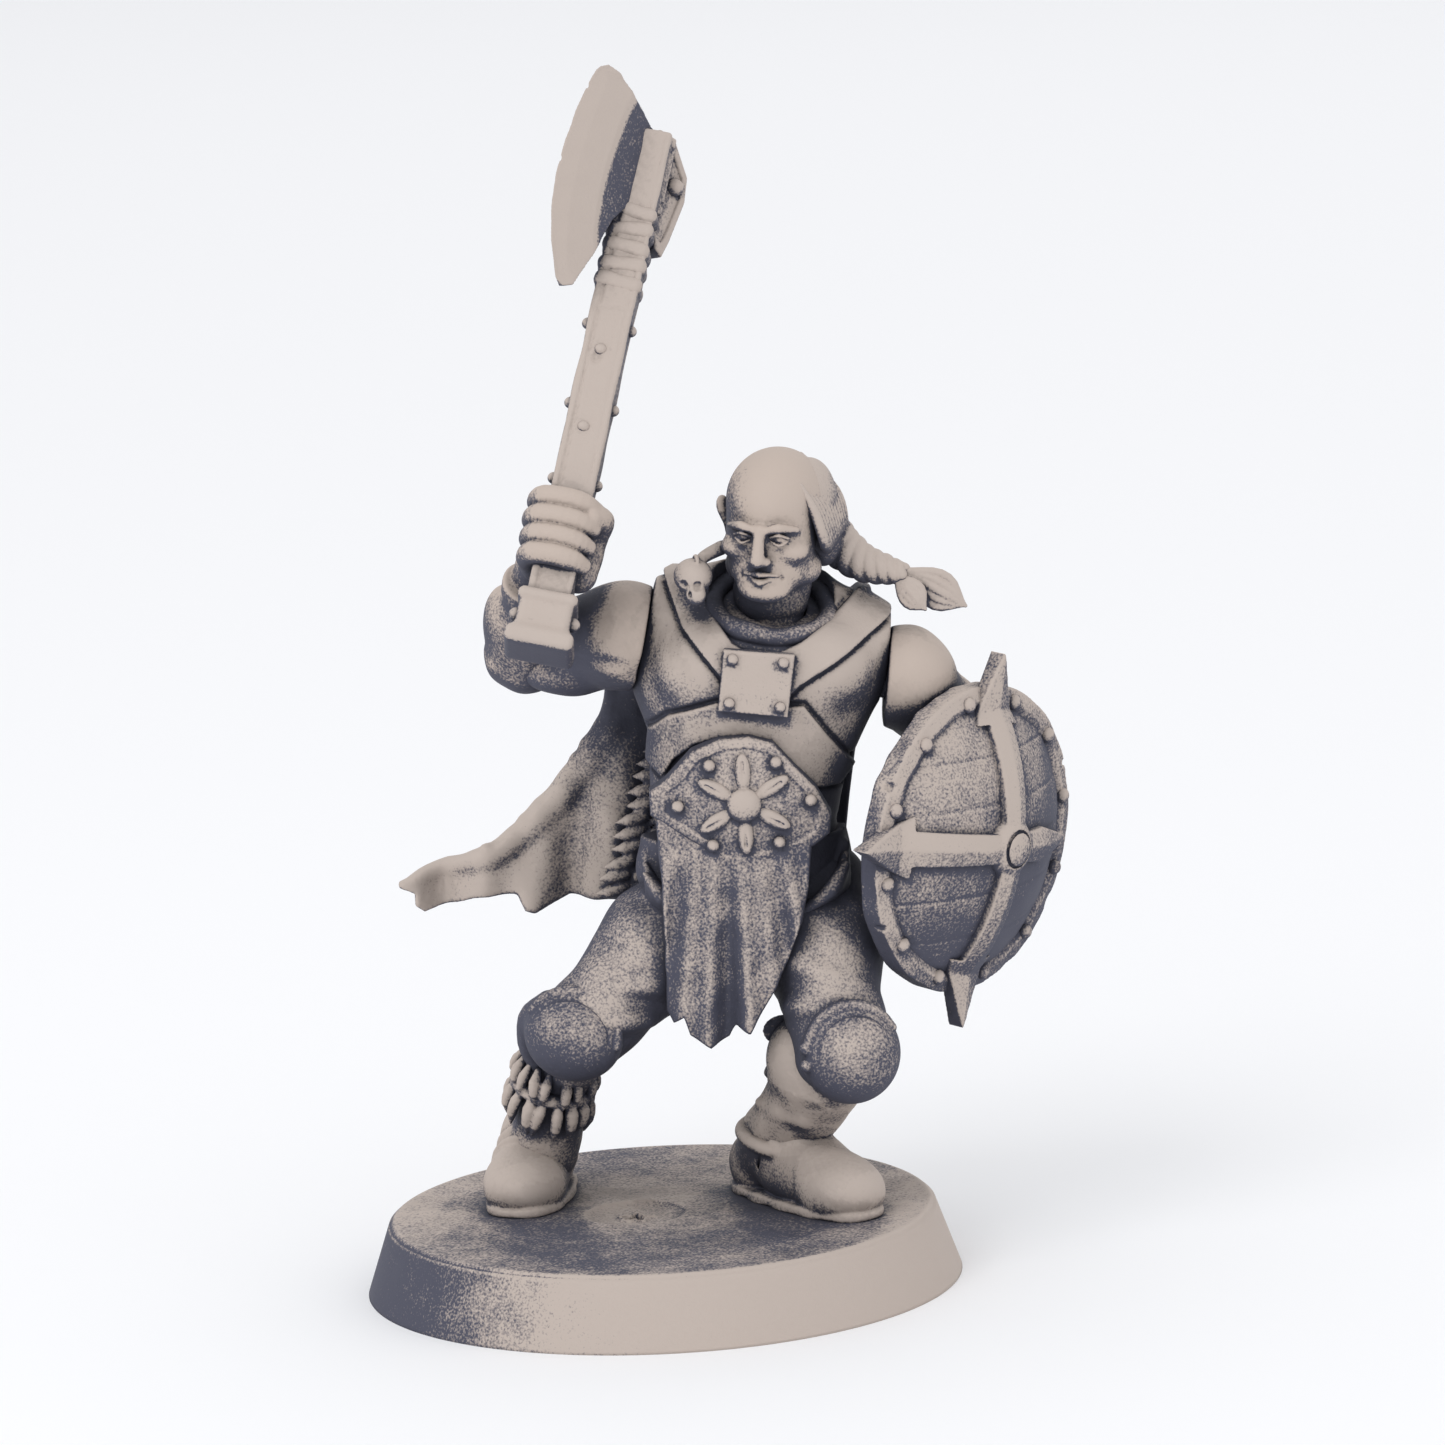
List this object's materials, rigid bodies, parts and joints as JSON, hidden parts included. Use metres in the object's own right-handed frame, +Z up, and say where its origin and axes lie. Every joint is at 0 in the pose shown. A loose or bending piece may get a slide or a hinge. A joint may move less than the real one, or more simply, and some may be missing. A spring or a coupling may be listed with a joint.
{
  "type": "tabletop miniature warrior figure",
  "caption": "Plastic tabletop miniature: warrior on a round base with raised axe, round shield, hide cloak, turning head, arms and shield.",
  "frame": {"origin": "centre of the round base, on the plane that it rests on", "axes": "+Z up through the figure; the figure faces -Y; its left hand with the shield is on +X"},
  "size_m": [0.0306, 0.025, 0.051],
  "materials": {
    "base_plastic": "matt primer, beige spray over a dark blue-grey undercoat",
    "boot_leather": "matt primer, beige spray over a dark blue-grey undercoat",
    "fur": "matt primer, beige spray over a dark blue-grey undercoat",
    "trousers": "matt primer, beige spray over a dark blue-grey undercoat",
    "armour": "matt primer, beige spray over a dark blue-grey undercoat",
    "cuirass": "matt primer, beige spray over a dark blue-grey undercoat",
    "cloth": "matt primer, beige spray over a dark blue-grey undercoat",
    "hide": "matt primer, beige spray over a dark blue-grey undercoat",
    "skin": "matt primer, beige spray over a dark blue-grey undercoat",
    "hair": "matt primer, beige spray over a dark blue-grey undercoat",
    "bone": "matt primer, beige spray over a dark blue-grey undercoat",
    "axe_wood": "matt primer, beige spray over a dark blue-grey undercoat",
    "axe_metal": "matt primer, beige spray over a dark blue-grey undercoat",
    "shield_face": "matt primer, beige spray over a dark blue-grey undercoat",
    "shield_metal": "matt primer, beige spray over a dark blue-grey undercoat"
  },
  "bodies": {
    "figure": {"base": "base_plastic", "right_boot": "boot_leather", "left_boot": "boot_leather", "right_boot_fur": "fur", "left_boot_fur": "fur", "right_shin": "trousers", "left_shin": "trousers", "right_thigh": "trousers", "left_thigh": "trousers", "right_knee_pad": "armour", "left_knee_pad": "armour", "torso": "cuirass", "pelvis": "trousers", "loincloth": "cloth", "belly_plate": "armour", "belly_rosette": "armour", "belly_rivets": "armour", "chest_plate": "armour", "chest_rivets": "armour", "chest_harness": "cuirass", "collar": "cuirass", "cloak": "hide", "cloak_fur": "fur"},
    "head": {"head": "skin", "hair": "hair", "braid": "hair", "braid_feathers": "hair", "skull_trophy": "bone"},
    "right_arm": {"axe_haft": "axe_wood", "axe_pommel": "axe_metal", "haft_binding": "axe_wood", "axe_socket": "axe_metal", "axe_head": "axe_metal", "axe_back_plate": "axe_metal", "axe_rivet": "axe_metal", "haft_studs": "axe_metal", "pommel_studs": "axe_metal", "right_upper_arm": "skin", "right_forearm": "skin", "right_hand": "skin"},
    "left_arm": {"left_upper_arm": "skin", "left_forearm": "skin", "left_hand": "skin"},
    "shield": {"shield_disc": "shield_face", "shield_rim": "shield_metal", "shield_straps": "shield_metal", "shield_rivets": "shield_metal", "shield_boss": "shield_face"}
  },
  "joints": [
    {"name": "head_turn", "type": "hinge", "parent": "figure", "child": "head", "pos_m": [0.0058, 0.0006, 0.028], "axis": [0, 0, 1], "range_deg": [-12, 25]},
    {"name": "right_arm_turn", "type": "hinge", "parent": "figure", "child": "right_arm", "pos_m": [0.0004, 0.001, 0.0272], "axis": [-0.9669, 0, 0.255], "range_deg": [-20, 25]},
    {"name": "left_arm_turn", "type": "hinge", "parent": "figure", "child": "left_arm", "pos_m": [0.0104, 0.001, 0.025], "axis": [0.9915, 0, -0.1299], "range_deg": [-12, 12]},
    {"name": "shield_turn", "type": "hinge", "parent": "left_arm", "child": "shield", "pos_m": [0.0135, 0.0003, 0.0182], "axis": [0.7611, -0.6409, -0.1001], "range_deg": [-20, 20]}
  ]
}
